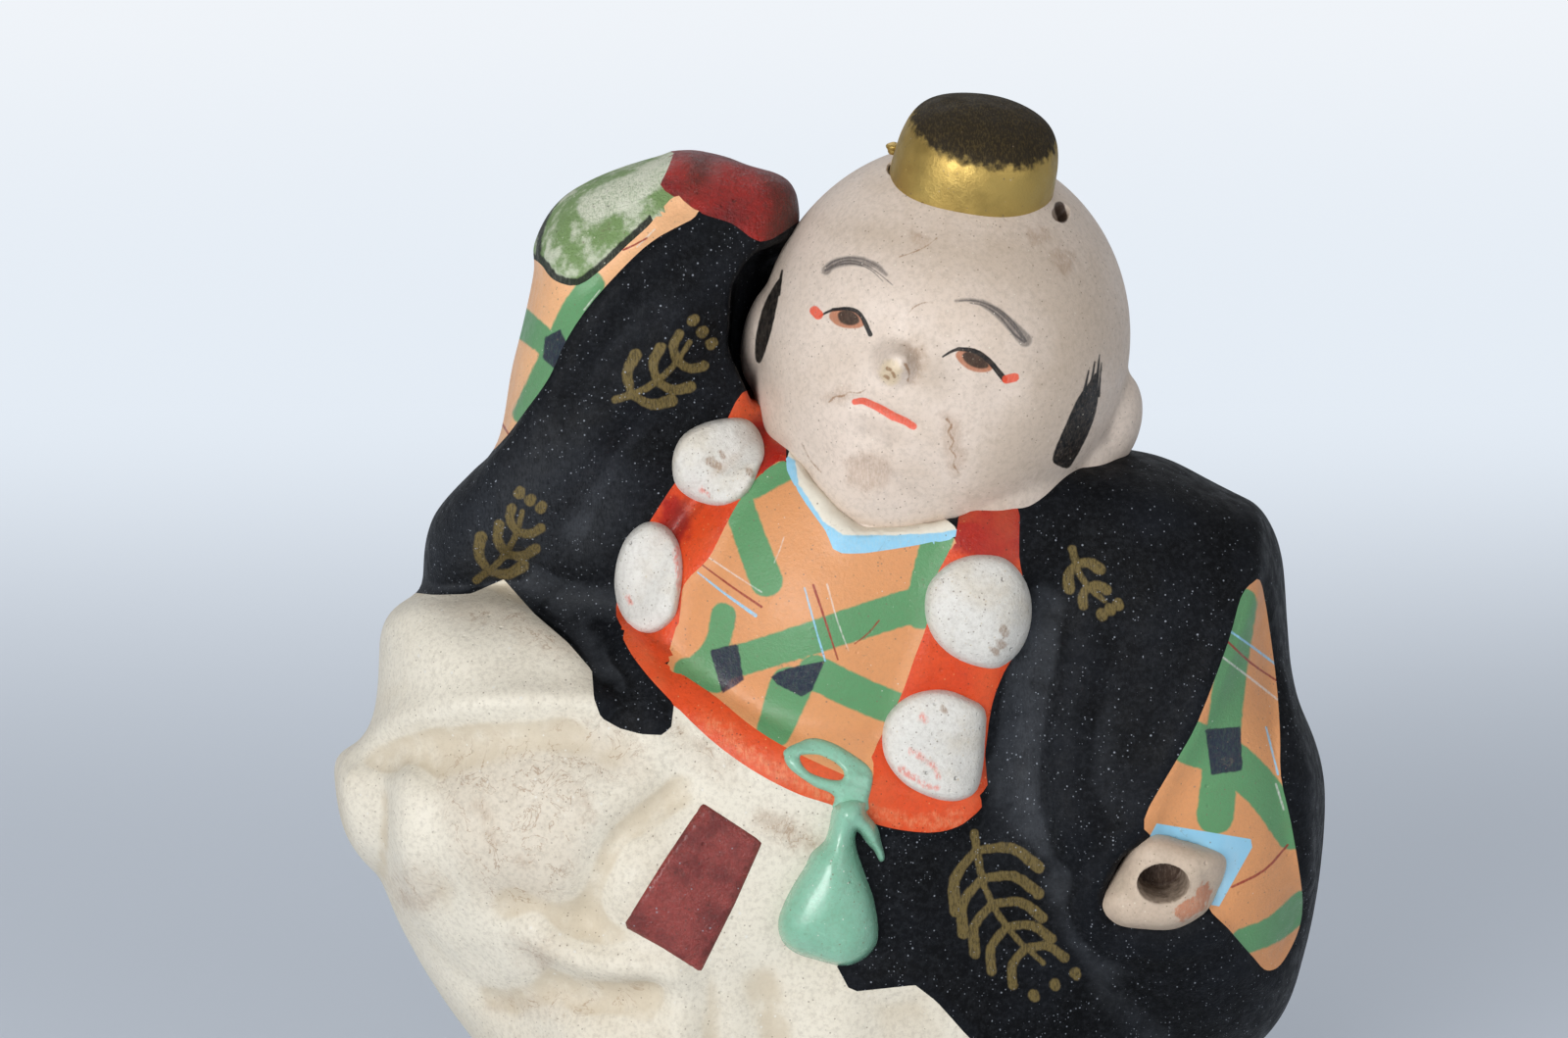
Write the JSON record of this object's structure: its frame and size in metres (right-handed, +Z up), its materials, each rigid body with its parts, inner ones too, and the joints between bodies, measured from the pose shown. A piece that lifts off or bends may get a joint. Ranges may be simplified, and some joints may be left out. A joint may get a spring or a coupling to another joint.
{
  "type": "gosho doll",
  "caption": "Painted clay doll of a round-faced child in a black robe with pompom straps and white trousers, one sleeve raised, the other hand bored for a staff.",
  "frame": {"origin": "middle of the flat base that the doll stands on", "axes": "+Z up through the head, -Y the way the doll faces, +X toward the hanging sleeve (the viewer's right)"},
  "size_m": [0.1201, 0.0626, 0.1375],
  "materials": {
    "cream_clay": "matt cream paint on clay, stained and worn",
    "black_paint": "satin black paint on clay, rubbed and speckled",
    "orange_paint": "satin orange paint on clay",
    "plaid_paint": "peach ground with green and navy plaid, satin",
    "white_paint": "matt white paint on clay, dusty",
    "flesh_paint": "matt pinkish cream paint on clay, crazed",
    "pale_green_paint": "satin pale green paint on clay",
    "leaf_green_paint": "thick matt green and cream paint",
    "dark_red_paint": "glossy dark red paint on clay",
    "crimson_paint": "satin crimson paint on clay",
    "blue_paint": "matt light blue paint on clay",
    "gold_paint": "worn gold paint on clay",
    "bare_clay": "unglazed fired clay"
  },
  "bodies": {
    "root": {"trousers_front": "cream_clay", "trousers_back": "cream_clay", "robe_front": "black_paint", "robe_back": "black_paint", "base_plate": "bare_clay", "neck_plug": "flesh_paint", "head_face": "flesh_paint", "head_back": "flesh_paint", "cap": "gold_paint", "cap_cord_stub": "gold_paint", "chest_panel": "plaid_paint", "collar_edge": "blue_paint", "strap_left": "orange_paint", "strap_right": "orange_paint", "belt_band": "orange_paint", "pompom_left_upper": "white_paint", "pompom_left_lower": "white_paint", "pompom_right_upper": "white_paint", "pompom_right_lower": "white_paint", "tassel_loop": "pale_green_paint", "tassel": "pale_green_paint", "sash_tab": "dark_red_paint", "raised_sleeve_lining": "plaid_paint", "sleeve_leaf_patch": "leaf_green_paint", "sleeve_top_cuff": "crimson_paint", "hanging_sleeve_lining": "plaid_paint", "hand_cuff": "blue_paint", "staff_hand": "flesh_paint"}
  },
  "joints": []
}
